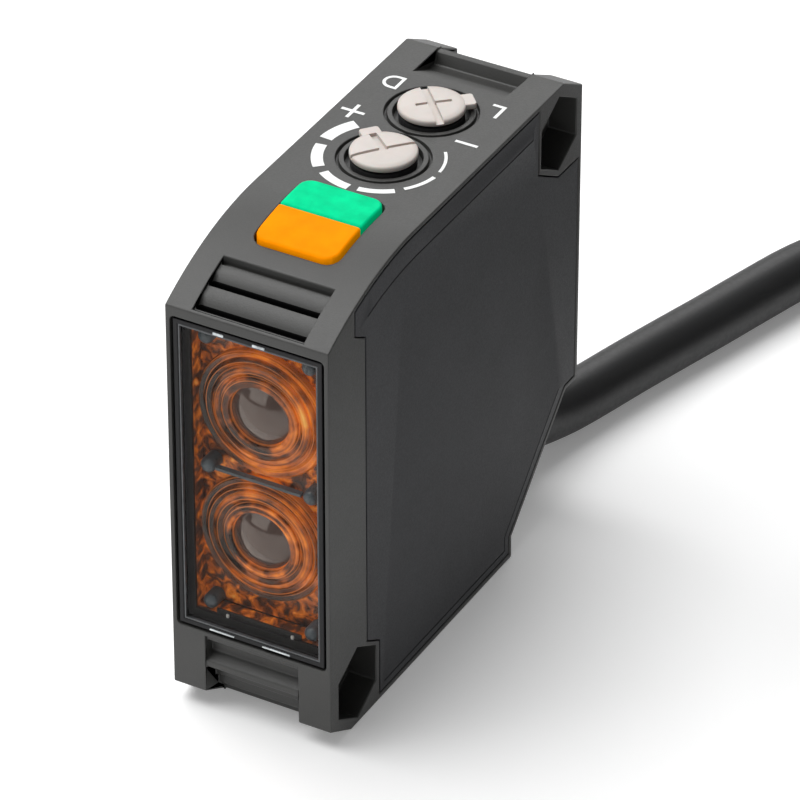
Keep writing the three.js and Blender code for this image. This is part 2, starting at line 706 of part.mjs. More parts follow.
function coilRing() {
  const { inside, outside, low, high } = COIL;
  const round = 2;
  return turned('z', [
    [inside + round, low], [outside - round, low], [outside, low + round], [outside, high - round],
    [outside - round, high], [inside + round, high], [inside, high - round], [inside, low + round],
    [inside + round, low],
  ], 48);
}

const coil = grouped(
  piece('cable_coil', coilRing(), RUBBER),
  piece('coil_tie_1', coilTie(150), BLACK),
  piece('coil_tie_2', coilTie(330), BLACK),
);
coil.position.set(COIL.x, COIL.y, 0);

// The flying leads leave the end of the sheath, drop to the surface and follow the ring, spreading a little.
function lead(index) {
  const order = [0, 4, 1, 3, 2]; // place across the fan, from the ring's middle outwards
  const angles = [342, 198, 54, 126, 270];
  const angle = THREE.MathUtils.degToRad(angles[index]);
  const radius = 24.5 - LEAD.ring * Math.cos(angle);
  const height = LEAD.height + LEAD.ring * Math.sin(angle);
  const spread = order[index] - 2;
  const { floor } = LEAD;
  return tube([
    inCoil(183, radius, height),
    inCoil(169, radius + 0.3 * spread, height * 0.9 + 0.1 * floor),
    inCoil(140, 23.4 + 1.7 * spread, height * 0.25 + 0.75 * floor),
    inCoil(108, 22 + 2.3 * spread, floor),
    inCoil(77, 20.5 + 3.0 * spread, floor),
    inCoil(46, 19.5 + 3.8 * spread, floor),
  ], LEAD.radius, 8, 16);
}

const freeCable = grouped(
  piece('cable', tube(CABLE_ROUTE, CABLE.radius, 12, 20), RUBBER),
  coil,
  piece('cable_tail', tube(TAIL_ROUTE, CABLE.radius, 12, 5), RUBBER),
  wireColours.map((colour, i) => piece(`lead_${colour}`, lead(i), WIRES[colour])),
);

export default grouped(housing, optics, electronics, controls, entry, freeCable);
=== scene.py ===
"""Looks of a compact photoelectric sensor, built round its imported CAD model.

Metres. The housing stands on Z = 0, the optical window faces -Y and the adjusters are on top.
Lengths are written in millimetres and multiplied by MM. Depths are measured back from the front face.
"""

import json
import math

import bmesh
import bpy
from mathutils import Matrix, Vector


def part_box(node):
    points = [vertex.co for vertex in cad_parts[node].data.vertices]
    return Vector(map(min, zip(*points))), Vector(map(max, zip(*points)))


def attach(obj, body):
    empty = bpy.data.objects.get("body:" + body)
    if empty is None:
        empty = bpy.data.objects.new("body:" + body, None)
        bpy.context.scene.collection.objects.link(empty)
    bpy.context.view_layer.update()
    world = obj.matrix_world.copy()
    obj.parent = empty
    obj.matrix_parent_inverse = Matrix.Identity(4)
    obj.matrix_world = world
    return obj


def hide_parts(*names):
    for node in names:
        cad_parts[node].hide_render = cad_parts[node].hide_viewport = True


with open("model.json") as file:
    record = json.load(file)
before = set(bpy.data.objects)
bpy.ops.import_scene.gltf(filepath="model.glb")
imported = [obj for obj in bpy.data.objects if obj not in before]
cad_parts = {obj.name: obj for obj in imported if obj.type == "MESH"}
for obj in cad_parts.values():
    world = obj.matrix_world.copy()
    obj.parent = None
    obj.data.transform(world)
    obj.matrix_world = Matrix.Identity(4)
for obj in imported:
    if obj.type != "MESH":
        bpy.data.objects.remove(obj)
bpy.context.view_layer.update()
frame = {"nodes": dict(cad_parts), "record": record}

MM = 0.001
HALF_WIDTH = 8.7
HALF_DEPTH = 25.0
TOP = 50.0
CROWN_RADIUS, CROWN_START = 34.0, 16.8
LOUVRE_SLOTS = ((3.3, 4.1), (0.88, 1.55))
LENS_HEIGHTS = {"lower_lens": 20.2, "upper_lens": 34.5}
SENSITIVITY_DEPTH, MODE_DEPTH = 26.0, 35.4

# ------------------------------------------------------------------ camera, stage and lights


def add_camera():
    azimuth, elevation = 0.5073, 0.5994
    data = bpy.data.cameras.new("camera")
    data.lens = 279.4
    data.sensor_width = 36
    data.clip_start, data.clip_end = 0.01, 20
    camera = bpy.data.objects.new("camera", data)
    direction = Vector((
        -math.sin(azimuth) * math.cos(elevation),
        math.cos(azimuth) * math.cos(elevation),
        -math.sin(elevation),
    ))
    camera.location = (0.242945, -0.432923, 0.361991)
    camera.rotation_euler = direction.to_track_quat("-Z", "Y").to_euler()
    bpy.context.scene.collection.objects.link(camera)
    bpy.context.scene.camera = camera


add_camera()

# ------------------------------------------------------------------ materials


def node_setup(name):
    made = bpy.data.materials.new(name)
    made.use_nodes = True
    return made, made.node_tree.nodes, made.node_tree.links


def noise_field(nodes, links, place, size, detail=2.0):
    """A noise texture whose features are about size millimetres across."""
    texture = nodes.new("ShaderNodeTexNoise")
    texture.inputs["Scale"].default_value = 1 / (size * MM)
    texture.inputs["Detail"].default_value = detail
    links.new(place, texture.inputs["Vector"])
    return texture.outputs["Fac"]


def ranged(nodes, links, value, low, high):
    """A field that runs from 0 to 1 stretched to run from low to high."""
    node = nodes.new("ShaderNodeMapRange")
    node.inputs["From Min"].default_value = 0.3
    node.inputs["From Max"].default_value = 0.7
    node.inputs["To Min"].default_value = low
    node.inputs["To Max"].default_value = high
    links.new(value, node.inputs["Value"])
    return node.outputs["Result"]


def toned(nodes, links, factor, first, second):
    node = nodes.new("ShaderNodeMix")
    node.data_type = "RGBA"
    links.new(factor, node.inputs["Factor"])
    node.inputs["A"].default_value = (*first, 1)
    node.inputs["B"].default_value = (*second, 1)
    return node.outputs["Result"]


def surface(name, colour, roughness, grain=0.25, grain_size=0.25, mottle=0.08, patch=5.0,
            stretch=(1, 1, 1), **sockets):
    """A procedural material: slightly mottled colour, uneven roughness and a fine surface grain.

    colour is linear. grain is the bump's strength, and grain_size and patch are in millimetres.
    """
    made, nodes, links = node_setup(name)
    shader = nodes["Principled BSDF"]
    mapping = nodes.new("ShaderNodeMapping")
    mapping.inputs["Scale"].default_value = stretch
    links.new(nodes.new("ShaderNodeTexCoord").outputs["Object"], mapping.inputs["Vector"])
    place = mapping.outputs["Vector"]
    broad = noise_field(nodes, links, place, patch, 4)
    fine = noise_field(nodes, links, place, grain_size, 3)
    dark = [c * (1 - mottle) for c in colour]
    light = [min(1, c * (1 + mottle)) for c in colour]
    mottled = toned(nodes, links, ranged(nodes, links, broad, 0, 1), dark, light)
    uneven = ranged(nodes, links, fine, roughness * 0.88, min(1, roughness * 1.12))
    links.new(mottled, shader.inputs["Base Color"])
    links.new(uneven, shader.inputs["Roughness"])
    bump = nodes.new("ShaderNodeBump")
    bump.inputs["Strength"].default_value = grain
    bump.inputs["Distance"].default_value = 0.03 * MM
    links.new(fine, bump.inputs["Height"])
    links.new(bump.outputs["Normal"], shader.inputs["Normal"])
    for socket, value in sockets.items():
        shader.inputs[socket.replace("_", " ")].default_value = value
    return made


def clear(name, tint, gloss=0.04, strength=1.0):
    """A thin clear pane: it passes tinted light straight through and reflects at its surface."""
    made, nodes, links = node_setup(name)
    nodes.remove(nodes["Principled BSDF"])
    place = nodes.new("ShaderNodeTexCoord").outputs["Object"]
    wave = noise_field(nodes, links, place, 3.0, 2)
    passing = nodes.new("ShaderNodeBsdfTransparent")
    links.new(toned(nodes, links, wave, tint, [min(1, c * 1.05) for c in tint]), passing.inputs["Color"])
    shine = nodes.new("ShaderNodeBsdfGlossy")
    shine.inputs["Roughness"].default_value = gloss
    bump = nodes.new("ShaderNodeBump")
    bump.inputs["Strength"].default_value = 0.15
    bump.inputs["Distance"].default_value = 0.05 * MM
    links.new(wave, bump.inputs["Height"])
    links.new(bump.outputs["Normal"], shine.inputs["Normal"])
    fresnel = nodes.new("ShaderNodeFresnel")
    fresnel.inputs["IOR"].default_value = 1.49
    amount = nodes.new("ShaderNodeMath")
    amount.operation = "MULTIPLY"
    links.new(fresnel.outputs["Fac"], amount.inputs[0])
    front = nodes.new("ShaderNodeMath")
    front.operation = "SUBTRACT"
    front.inputs[0].default_value = strength
    links.new(nodes.new("ShaderNodeNewGeometry").outputs["Backfacing"], front.inputs[1])
    front.use_clamp = True
    links.new(front.outputs["Value"], amount.inputs[1])
    mix = nodes.new("ShaderNodeMixShader")
    links.new(amount.outputs["Value"], mix.inputs["Fac"])
    links.new(passing.outputs["BSDF"], mix.inputs[1])
    links.new(shine.outputs["BSDF"], mix.inputs[2])
    links.new(mix.outputs["Shader"], nodes["Material Output"].inputs["Surface"])
    return made


# The amber's colours by how lit it is, as a painted light level, and the lens's plain disc and its painted
# bright ring highlights by radius in millimetres.
AMBER_STOPS = [
    (0.34, (0.016, 0.009, 0.006)), (0.43, (0.10, 0.028, 0.006)), (0.50, (0.48, 0.115, 0.010)),
    (0.58, (0.90, 0.27, 0.02)), (0.68, (1.0, 0.60, 0.12)),
]
DISC_RADIUS = 3.1
RING_LINES = (3.18, 3.95, 4.25, 4.75, 5.33, 5.8, 6.22, 6.8)


def amber_ramp(nodes, links, value):
    """From dark brown through orange to a pale painted glint."""
    ramp = nodes.new("ShaderNodeValToRGB")
    for _ in range(len(AMBER_STOPS) - 2):
        ramp.color_ramp.elements.new(0.5)
    for element, (position, colour) in zip(ramp.color_ramp.elements, AMBER_STOPS):
        element.position, element.color = position, (*colour, 1)
    links.new(value, ramp.inputs["Fac"])
    return ramp.outputs["Color"]


def crinkled_amber(name):
    """Amber moulding with a crinkled face whose glinting patches are painted: the crinkle noise runs through the
    amber's lit-level ramp, and a faint emission paints a glow.
    """
    made, nodes, links = node_setup(name)
    shader = nodes["Principled BSDF"]
    place = nodes.new("ShaderNodeTexCoord").outputs["Object"]
    crinkle = noise_field(nodes, links, place, 1.1, 3)
    crinkle.node.inputs["Distortion"].default_value = 0.6
    dimmed = nodes.new("ShaderNodeMath")
    dimmed.operation = "MULTIPLY_ADD"
    links.new(crinkle, dimmed.inputs[0])
    dimmed.inputs[1].default_value = 0.7
    dimmed.inputs[2].default_value = 0.12
    colour = amber_ramp(nodes, links, dimmed.outputs["Value"])
    links.new(colour, shader.inputs["Base Color"])
    # Painted glow: a faint emission of the amber's own colour.
    links.new(colour, shader.inputs["Emission Color"])
    shader.inputs["Emission Strength"].default_value = 0.2
    shader.inputs["Roughness"].default_value = 0.3
    bump = nodes.new("ShaderNodeBump")
    bump.inputs["Strength"].default_value = 0.35
    bump.inputs["Distance"].default_value = 0.3 * MM
    links.new(crinkle, bump.inputs["Height"])
    links.new(bump.outputs["Normal"], shader.inputs["Normal"])
    return made


def ringed_amber(name, height):
    """Amber moulding with painted light: caustic-like streaks round a lens axis, thin bright rings painted as
    highlights and a painted glow, with a plain glossy disc inside them.

    The lens axis runs along Y at X = 0 and this height in millimetres.
    """
    made, nodes, links = node_setup(name)
    shader = nodes["Principled BSDF"]

    def calculated(operation, first, second=None, third=None):
        node = nodes.new("ShaderNodeMath")
        node.operation = operation
        for socket, value in zip(node.inputs, (first, second, third)):
            if isinstance(value, (int, float)):
                socket.default_value = value
            elif value is not None:
                links.new(value, socket)
        return node.outputs["Value"]

    apart = nodes.new("ShaderNodeSeparateXYZ")
    links.new(nodes.new("ShaderNodeTexCoord").outputs["Object"], apart.inputs["Vector"])
    across = calculated("MULTIPLY", apart.outputs["X"], 1 / MM)
    upward = calculated("MULTIPLY_ADD", apart.outputs["Z"], 1 / MM, -height)
    squares = calculated("MULTIPLY_ADD", across, across, calculated("MULTIPLY", upward, upward))
    radius = calculated("MAXIMUM", calculated("SQRT", squares), 0.01)
    in_disc = calculated("LESS_THAN", radius, DISC_RADIUS)
    cosine, sine = calculated("DIVIDE", across, radius), calculated("DIVIDE", upward, radius)

    def field(round_scale, radial_scale):
        """Noise that varies this fast round the axis and along the radius."""
        place = nodes.new("ShaderNodeCombineXYZ")
        links.new(calculated("MULTIPLY", cosine, round_scale), place.inputs["X"])
        links.new(calculated("MULTIPLY", sine, round_scale), place.inputs["Y"])
        links.new(calculated("MULTIPLY_ADD", radius, radial_scale, height), place.inputs["Z"])
        texture = nodes.new("ShaderNodeTexNoise")
        texture.inputs["Scale"].default_value = 1.0
        texture.inputs["Detail"].default_value = 3
        links.new(place.outputs["Vector"], texture.inputs["Vector"])
        return calculated("SUBTRACT", texture.outputs["Fac"], 0.5)

    rings, patches = field(0.4, 3.2), field(1.5, 0.5)
    # Painted light: brighter to the right and the top, with noise that paints caustic-like streaks and patches.
    lit = calculated("MULTIPLY_ADD", sine, 0.02, calculated("MULTIPLY_ADD", cosine, 0.05, 0.452))
    lit = calculated("MULTIPLY_ADD", rings, 0.30, calculated("MULTIPLY_ADD", patches, 0.55, lit))
    colour = amber_ramp(nodes, links, lit)
    # Painted highlights: thin bright lines at the radii of the ring steps.
    lines = 0
    for place in RING_LINES:
        lines = calculated("ADD", calculated("COMPARE", radius, place, 0.045), lines)
    mixes = [
        (calculated("MULTIPLY", lines, 0.5), (0.85, 0.27, 0.06)),
        (in_disc, (0.062, 0.040, 0.034)),
    ]
    for factor, other in mixes:
        mix = nodes.new("ShaderNodeMix")
        mix.data_type = "RGBA"
        links.new(factor, mix.inputs["Factor"])
        links.new(colour, mix.inputs["A"])
        mix.inputs["B"].default_value = (*other, 1)
        colour = mix.outputs["Result"]
    links.new(colour, shader.inputs["Base Color"])
    # Painted glow: the amber emits its own colour.
    links.new(colour, shader.inputs["Emission Color"])
    shader.inputs["Emission Strength"].default_value = 0.28
    shader.inputs["Roughness"].default_value = 0.12
    links.new(in_disc, shader.inputs["Coat Weight"])
    bump = nodes.new("ShaderNodeBump")
    bump.inputs["Strength"].default_value = 0.3
    bump.inputs["Distance"].default_value = 0.15 * MM
    outside = calculated("SUBTRACT", 1, in_disc)
    links.new(calculated("MULTIPLY", rings, outside), bump.inputs["Height"])
    links.new(bump.outputs["Normal"], shader.inputs["Normal"])
    return made


MATERIALS = {
    "case_grey": surface("case_plastic", (0.033, 0.033, 0.031), 0.46, grain=0.5, grain_size=0.16),
    # The side cover's plastic is darker and bluer than the case's: painted shade for the side that faces away
    # from the lights.
    "cover_grey": surface("cover_plastic_painted_shade", (0.026, 0.0265, 0.030), 0.55, grain=0.5, grain_size=0.16,
                          Specular_IOR_Level=0.4),
    "window_dark": clear("window_clear", (0.88, 0.86, 0.84), strength=0.3),
    "amber": crinkled_amber("amber_moulding"),
    "slate": surface("slate_posts", (0.07, 0.10, 0.125), 0.3, grain=0.2, grain_size=0.6, mottle=0.15,
                     patch=1.0),
    "rubber_black": surface("black_rubber", (0.018, 0.018, 0.019), 0.7, grain=0.5, grain_size=0.2),
    "plastic_black": surface("black_plastic", (0.009, 0.009, 0.010), 0.5, grain=0.3, grain_size=0.2,
                             Specular_IOR_Level=0.25),
    "led_red": surface("emitter_epoxy", (0.6, 0.05, 0.04), 0.08, grain=0.05, grain_size=0.5, patch=1.0,
                       Transmission_Weight=0.6),
    "led_clear": surface("led_epoxy", (0.75, 0.82, 0.7), 0.1, grain=0.05, grain_size=0.5, patch=0.8,
                         Transmission_Weight=0.4),
    "board_green": surface("board_lacquer", (0.010, 0.105, 0.032), 0.3, grain=0.5, grain_size=0.5,
                           mottle=0.25, patch=1.5, Coat_Weight=0.4),
    "tinplate": surface("tinned_steel", (0.62, 0.63, 0.65), 0.3, grain=0.2, grain_size=0.4, patch=1.5,
                        Metallic=1.0),
    "relay_blue": surface("relay_plastic", (0.025, 0.06, 0.16), 0.35, grain=0.2, grain_size=0.3),
    "ferrite": surface("ferrite", (0.03, 0.027, 0.025), 0.65, grain=0.8, grain_size=0.3, mottle=0.2,
                       patch=0.8),
    "copper": surface("copper_winding", (0.55, 0.22, 0.07), 0.3, grain=0.9, grain_size=0.3, mottle=0.2,
                      patch=0.6, stretch=(0.05, 1, 1), Metallic=1.0),
    "sleeve_navy": surface("capacitor_sleeve", (0.01, 0.02, 0.07), 0.3, grain=0.2, grain_size=0.6,
                           patch=2.0),
    "ceramic_blue": surface("dipped_ceramic", (0.02, 0.13, 0.42), 0.4, grain=0.4, grain_size=0.5,
                            patch=1.0),
    "knob_white": surface("knob_plastic", (0.57, 0.52, 0.485), 0.45, grain=0.15, grain_size=0.3,
                          mottle=0.03, patch=1.5, Subsurface_Weight=0.15, Subsurface_Scale=0.4 * MM),
    "lens_green": surface("green_lens", (0.0, 0.50, 0.22), 0.5, grain=0.15, grain_size=1.2, mottle=0.18,
                          patch=1.8, Emission_Color=(0.0, 0.75, 0.30, 1), Emission_Strength=0.27,
                          Specular_IOR_Level=0.02),
    "lens_orange": surface("orange_lens", (0.80, 0.21, 0.0), 0.5, grain=0.15, grain_size=1.2, mottle=0.12,
                           patch=2.2, Emission_Color=(1.0, 0.36, 0.0, 1), Emission_Strength=0.27,
                           Specular_IOR_Level=0.02),
    "cable_black": surface("cable_sheath", (0.013, 0.013, 0.0135), 0.46, grain=0.35, grain_size=0.5,
                           patch=8.0),
}
WIRE_COLOURS = {
    "brown": (0.13, 0.045, 0.015),
    "blue": (0.012, 0.08, 0.36),
    "black": (0.01, 0.01, 0.01),
    "white": (0.78, 0.77, 0.73),
    "gray": (0.24, 0.25, 0.26),
}
for wire, tint in WIRE_COLOURS.items():
    MATERIALS[f"wire_{wire}"] = surface(f"wire_{wire}", tint, 0.35, grain=0.2, grain_size=0.4, patch=3.0)

PRINT_WHITE = surface("dial_ink", (0.86, 0.87, 0.86), 0.45, grain=0.3, grain_size=0.2, mottle=0.04, patch=1.0)
# Near-black painted shade for the louvre's slots and the recess floor below them.
SLOT_PAINTED_SHADE = surface("slot_shadow", (0.003, 0.003, 0.003), 0.9, grain=0.2, grain_size=0.2,
                     Specular_IOR_Level=0.05)
# A lighter grey that paints the highlight along the window's inner bevel; the beads beside the window use it
# too.
RIM_GREY = surface("rim_grey", (0.075, 0.08, 0.085), 0.35, grain=0.6, grain_size=0.3, mottle=0.3, patch=0.8)
# A near-white painted glint for the window's catches and the sill's pegs.
PAINTED_GLINT = surface("catch_painted_glint", (0.62, 0.66, 0.68), 0.2, grain=0.3, grain_size=0.3, mottle=0.3, patch=0.6)
BARE_COPPER = surface("bare_copper", (0.72, 0.33, 0.14), 0.28, grain=0.8, grain_size=0.15, patch=0.5,
                      Metallic=1.0)
PALE_FLOOR = surface("pale_floor", (0.92, 0.92, 0.92), 0.9, grain=0.02, grain_size=4, mottle=0.01, patch=200,
                     Emission_Color=(1, 1, 1, 1), Emission_Strength=0.18)
SLOTS = {row["node"]: row["material_slot"] for row in frame["record"]["subparts"]}

# ------------------------------------------------------------------ mesh helpers


def put(name, mesh, slot, body="housing", stands_for=(), material=None):
    """A finished piece: it takes its slot's material and rides on a body."""
    made = bpy.data.objects.new(name, mesh)
    bpy.context.scene.collection.objects.link(made)
    mesh.materials.clear()
    mesh.materials.append(material or MATERIALS[slot])
    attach(made, body)
    if stands_for:
        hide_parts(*stands_for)
    return made


def mesh_of(work, name, smooth_below=35):
    """A clean mesh from a bmesh, shaded smooth up to an angle in degrees."""
    bmesh.ops.recalc_face_normals(work, faces=work.faces)
    work.verts.index_update()
    made = bpy.data.meshes.new(name)
    made.from_pydata([v.co[:] for v in work.verts], [], [[v.index for v in f.verts] for f in work.faces])
    work.free()
    made.shade_smooth()
    made.set_sharp_from_angle(angle=math.radians(smooth_below))
    return made


def rounded(work, width, segments=2, angle=30, keep=None):
    """Rounds the edges that are sharper than an angle."""
    sharp = [
        e for e in work.edges
        if len(e.link_faces) == 2 and e.calc_face_angle(0) > math.radians(angle)
    ]
    if keep:
        sharp = [e for e in sharp if keep(e)]
    bmesh.ops.bevel(work, geom=sharp, offset=width * MM, offset_type="OFFSET", segments=segments,
                    profile=0.5, affect="EDGES", clamp_overlap=False)


def weighted(piece):
    """Shades the flat faces flat and leaves the rounding to the narrow faces between them."""
    modifier = piece.modifiers.new("weighted", "WEIGHTED_NORMAL")
    modifier.keep_sharp = True
    return piece


def cad_copy(node):
    """A CAD node's mesh as a bmesh with its flat faces whole."""
    work = bmesh.new()
    work.from_mesh(frame["nodes"][node].data)
    bmesh.ops.remove_doubles(work, verts=work.verts, dist=0.003 * MM)
    bmesh.ops.dissolve_limit(work, angle_limit=math.radians(0.4), verts=work.verts, edges=work.edges,
                             use_dissolve_boundaries=False)
    return work


def turned(profile, segments=64, clip_half_width=None):
    """A solid of revolution about Z from a profile of (radius, height) that starts and ends on the axis.

    clip_half_width cuts it off flat at that distance on both sides along X.
    """
    work = bmesh.new()
    rings = []
    for radius, height in profile:
        if radius < 1e-6:
            rings.append([work.verts.new((0, 0, height * MM))])
            continue
        rings.append([
            work.verts.new((
                radius * MM * math.cos(2 * math.pi * i / segments),
                radius * MM * math.sin(2 * math.pi * i / segments),
                height * MM,
            ))
            for i in range(segments)
        ])
    for lower, upper in zip(rings, rings[1:]):
        for i in range(segments):
            j = (i + 1) % segments
            corners = [
                lower[i % len(lower)], lower[j % len(lower)], upper[j % len(upper)], upper[i % len(upper)],
            ]
            unique = list(dict.fromkeys(corners))
            if len(unique) > 2:
                work.faces.new(unique)
    bmesh.ops.remove_doubles(work, verts=work.verts, dist=0.0005 * MM)
    if clip_half_width:
        for sign in (-1, 1):
            everything = work.verts[:] + work.edges[:] + work.faces[:]
            plane = (sign * clip_half_width * MM, 0, 0)
            cut = bmesh.ops.bisect_plane(work, geom=everything, plane_co=plane, plane_no=(sign, 0, 0),
                                         clear_outer=True)
            edges = [e for e in cut["geom_cut"] if isinstance(e, bmesh.types.BMEdge)]
            bmesh.ops.edgeloop_fill(work, edges=edges)
    return work


def placed(a, b, c, axis):
    """The point with c along an axis. The other two are (x, y) for axis z, (y, z) for x and (x, z) for y."""
    return Vector({"x": (c, a, b), "y": (a, c, b), "z": (a, b, c)}[axis]) * MM


def prism(outline, low, high, axis="z"):
    """A straight prism of an outline, from low to high along an axis."""
    work = bmesh.new()
    ends = [[work.verts.new(placed(a, b, c, axis)) for a, b in outline] for c in (low, high)]
    work.faces.new(ends[0])
    work.faces.new(ends[1])
    for i in range(len(outline)):
        j = (i + 1) % len(outline)
        work.faces.new([ends[0][i], ends[0][j], ends[1][j], ends[1][i]])
    bmesh.ops.recalc_face_normals(work, faces=work.faces)
    return work


def box_prism(a0, a1, b0, b1, low, high, axis="z"):
    """A box between two values on each of the outline's directions and from low to high."""
    return prism([(a0, b0), (a1, b0), (a1, b1), (a0, b1)], low, high, axis)


def ring(outer, inner, low, high, axis="z"):
    """A prism with a hole, from two outlines with the same number of points."""
    work = bmesh.new()
    low_out, low_in, high_out, high_in = [
        [work.verts.new(placed(a, b, c, axis)) for a, b in outline]
        for c in (low, high) for outline in (outer, inner)
    ]
    for i in range(len(outer)):
        j = (i + 1) % len(outer)
        work.faces.new([low_out[i], low_out[j], low_in[j], low_in[i]])
        work.faces.new([high_out[i], high_in[i], high_in[j], high_out[j]])
        work.faces.new([low_out[i], high_out[i], high_out[j], low_out[j]])
        work.faces.new([low_in[i], low_in[j], high_in[j], high_in[i]])
    bmesh.ops.recalc_face_normals(work, faces=work.faces)
    return work


def merged(*works):
    """Several bmeshes as one. The later ones are freed."""
    base = works[0]
    for other in works[1:]:
        made = {v: base.verts.new(v.co) for v in other.verts}
        for face in other.faces:
            base.faces.new([made[v] for v in face.verts])
        other.free()
    return base


def strip(points, width, closed=False, low=50.004, high=50.03, axis="z"):
    """A flat stroke of a given width along a line of (x, y) points, or (y, z) for axis x."""
    line = [Vector(p) for p in points]
    count = len(line)
    left, right = [], []
    for i, here in enumerate(line):
        before = line[i - 1] if closed or i else None
        after = line[(i + 1) % count] if closed or i + 1 < count else None
        back = (here - before).normalized() if before is not None else (after - here).normalized()
        ahead = (after - here).normalized() if after is not None else back
        square = Vector((-ahead.y, ahead.x))
        side = (Vector((-back.y, back.x)) + square).normalized()
        reach = width / 2 / max(0.4, side.dot(square))
        left.append((here + side * reach)[:])
        right.append((here - side * reach)[:])
    if closed:
        return ring(left, right, low, high, axis)
    return prism(left + right[::-1], low, high, axis)


def arc(cx, cy, radius, start, end, count):
    """Points on an arc, with angles in degrees."""
    return [
        (cx + radius * math.cos(math.radians(start + (end - start) * i / count)),
         cy + radius * math.sin(math.radians(start + (end - start) * i / count)))
        for i in range(count + 1)
    ]


def combined(piece, operation, *tools):
    """Cuts tool meshes out of a piece, or joins them to it, and keeps the result as its mesh."""
    for tool in tools:
        other = bpy.data.objects.new("tool", tool)
        bpy.context.scene.collection.objects.link(other)
        modifier = piece.modifiers.new("combine", "BOOLEAN")
        modifier.operation, modifier.solver, modifier.object = operation, "EXACT", other
        graph = bpy.context.evaluated_depsgraph_get()
        result = bpy.data.meshes.new_from_object(piece.evaluated_get(graph))
        piece.modifiers.remove(modifier)
        piece.data = result
        bpy.data.objects.remove(other)
    return piece


def y_at(depth):
    return depth - HALF_DEPTH


def crown(depth, offset=0.0):
    """The height of the top surface at a depth, or of a line parallel to it."""
    radius = CROWN_RADIUS + offset
    if depth >= CROWN_START:
        return TOP + offset
    return TOP - CROWN_RADIUS + math.sqrt(radius ** 2 - (CROWN_START - depth) ** 2)


def smooth_line(points, steps):
    """A centripetal Catmull-Rom curve through the points."""
    ends = [2 * points[0] - points[1], *points, 2 * points[-1] - points[-2]]
    line = []
    for p0, p1, p2, p3 in zip(ends, ends[1:], ends[2:], ends[3:]):
        t1 = (p1 - p0).length ** 0.5
        t2 = t1 + (p2 - p1).length ** 0.5
        t3 = t2 + (p3 - p2).length ** 0.5
        for i in range(steps):
            t = t1 + (t2 - t1) * i / steps
            a1 = p0 * (t1 - t) / t1 + p1 * t / t1
            a2 = p1 * (t2 - t) / (t2 - t1) + p2 * (t - t1) / (t2 - t1)
            a3 = p2 * (t3 - t) / (t3 - t2) + p3 * (t - t2) / (t3 - t2)
            b1 = a1 * (t2 - t) / t2 + a2 * t / t2
            b2 = a2 * (t3 - t) / (t3 - t1) + a3 * (t - t1) / (t3 - t1)
            line.append(b1 * (t2 - t) / (t2 - t1) + b2 * (t - t1) / (t2 - t1))
    return [*line, points[-1]]


def round_curve(name, line, radius, slot, material=None, stands_for=()):
    """A round cord along a line of points, as a curve with one open spline."""
    data = bpy.data.curves.new(name, "CURVE")
    data.dimensions = "3D"
    data.bevel_depth = radius * MM
    data.bevel_resolution = 6
    data.use_fill_caps = True
    spline = data.splines.new("POLY")
    spline.points.add(len(line) - 1)
    for point, place in zip(spline.points, line):
        point.co = (*place, 1)
    spline.use_smooth = True
    made = bpy.data.objects.new(name, data)
    bpy.context.scene.collection.objects.link(made)
    data.materials.append(material or MATERIALS[slot])
    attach(made, "housing")
    if stands_for:
        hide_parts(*stands_for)
    return made


# ------------------------------------------------------------------ cable, coil and leads

CABLE_RADIUS = 3.0
CABLE_ROUTE = [
    (-0.2, 12.6, 16.0), (-0.15, 15.7, 12.9), (0, 18.8, 9.8), (0.4, 21.9, 7.15), (1.0, 25.3, 5.15),
    (1.8, 29.1, 3.8), (2.65, 32.7, 3.15), (3.6, 36.2, 3.0), (5.5, 43.2, 3.0), (7.6, 50.4, 3.0),
    (8.8, 54.4, 3.0), (11.0, 62.0, 3.05),
]
COIL_CENTRE = (73, 49)
COIL_RADIUS, COIL_LOW, TURN_PITCH = 40.0, 3.7, 6.1
TAIL_RADIUS = 24.5
# Each lead's place in the fan, and its angle round the end of the sheath.
LEAD_PLACES = {"brown": (-2, 342), "blue": (2, 198), "black": (-1, 54), "white": (1, 126), "gray": (0, 270)}


def in_coil(angle, radius, height):
    """A point by its angle in degrees and distance from the coil's centre."""
    angle = math.radians(angle)
    return COIL_CENTRE[0] + radius * math.cos(angle), COIL_CENTRE[1] + radius * math.sin(angle), height


def turn_points():
    """The bend on the surface that brings the cable round to the coil."""
    return [
        (39.6 - 28 * math.sin(math.radians(h)), 59.5 + 28 * math.cos(math.radians(h)), 3.1)
        for h in (72, 55, 38, 21, 3)
    ]


def eased(value):
    share = min(1, max(0, value))
    return share * share * (3 - 2 * share)


def coil_points():
    """Two rings of stacked turns, clockwise: the outer one climbs and the inner one comes back down.

    The last part leaves the inner ring and ends inside it.
    """
    points = []
    steps = 170
    for i in range(steps + 1):
        turn = 7.75 * i / steps
        climbed = sum(eased((turn - k - 0.70) / 0.23) for k in (0, 1, 2))
        dropped = sum(eased((turn - k - 0.50) / 0.25) for k in (4, 5, 6))
        radius = COIL_RADIUS - TURN_PITCH * eased((turn - 3.62) / 0.23)
        radius -= (COIL_RADIUS - TURN_PITCH - TAIL_RADIUS) * eased((turn - 7.38) / 0.37)
        points.append(in_coil(93 - 360 * turn, radius, COIL_LOW + TURN_PITCH * (climbed - dropped)))
    return points


def lead_points(colour):
    """A flying lead: from the end of the sheath down to the surface, spreading to its place in the fan."""
    spread, angle = LEAD_PLACES[colour]
    radius = TAIL_RADIUS - 1.6 * math.cos(math.radians(angle))
    height = 3.65 + 1.6 * math.sin(math.radians(angle))
    floor = 0.83
    return [
        in_coil(190, radius, height),
        in_coil(183, radius, height),
        in_coil(169, radius + 0.3 * spread, height * 0.9 + 0.1 * floor),
        in_coil(140, 23.4 + 1.7 * spread, height * 0.25 + 0.75 * floor),
        in_coil(108, 22 + 2.3 * spread, floor),
        in_coil(77, 20.5 + 3.0 * spread, floor),
        in_coil(46, 19.5 + 3.8 * spread, floor),
    ]


